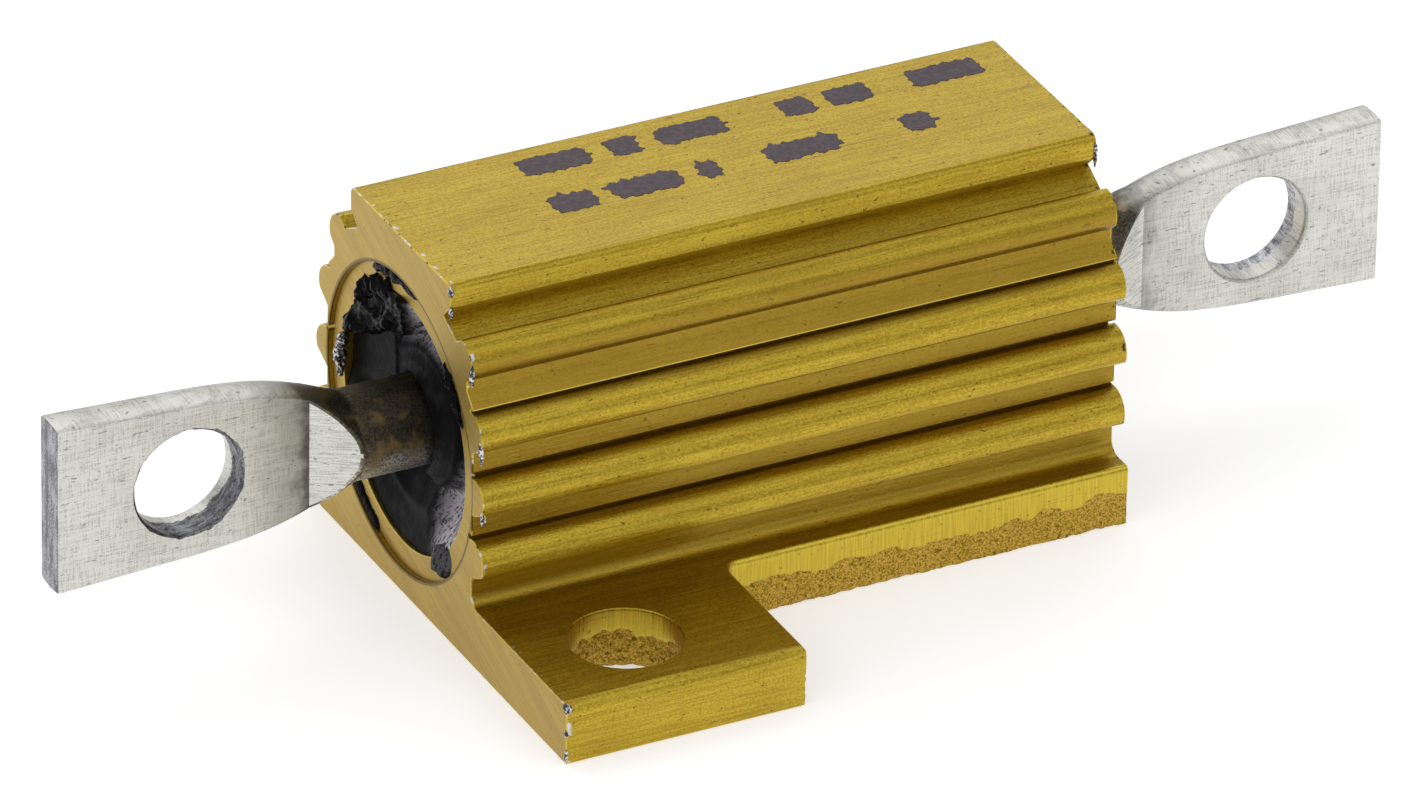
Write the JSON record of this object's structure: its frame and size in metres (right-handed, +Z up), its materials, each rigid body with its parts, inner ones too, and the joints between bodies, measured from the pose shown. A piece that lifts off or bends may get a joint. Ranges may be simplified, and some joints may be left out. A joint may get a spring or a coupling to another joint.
{
  "type": "aluminium housed power resistor",
  "caption": "Wirewound power resistor in a finned gold anodised aluminium housing, with pierced mounting feet and flattened, pierced terminals at its ends.",
  "frame": {"origin": "middle of the base face", "axes": "+X along the terminals, +Y across the mounting feet, +Z up from the base face to the flat top"},
  "size_m": [0.0322, 0.0164, 0.0088],
  "materials": {
    "anodised_aluminium": "satin",
    "black_silicone": "satin",
    "steatite": "matte",
    "resistance_alloy": "satin",
    "plated_cap": "satin",
    "tinned_terminal": "satin"
  },
  "bodies": {
    "root": {"housing": "anodised_aluminium", "encapsulant": "black_silicone", "ceramic_core": "steatite", "resistance_winding": "resistance_alloy", "end_cap_left": "plated_cap", "end_cap_right": "plated_cap", "terminal_left": "tinned_terminal", "terminal_right": "tinned_terminal"}
  },
  "joints": []
}
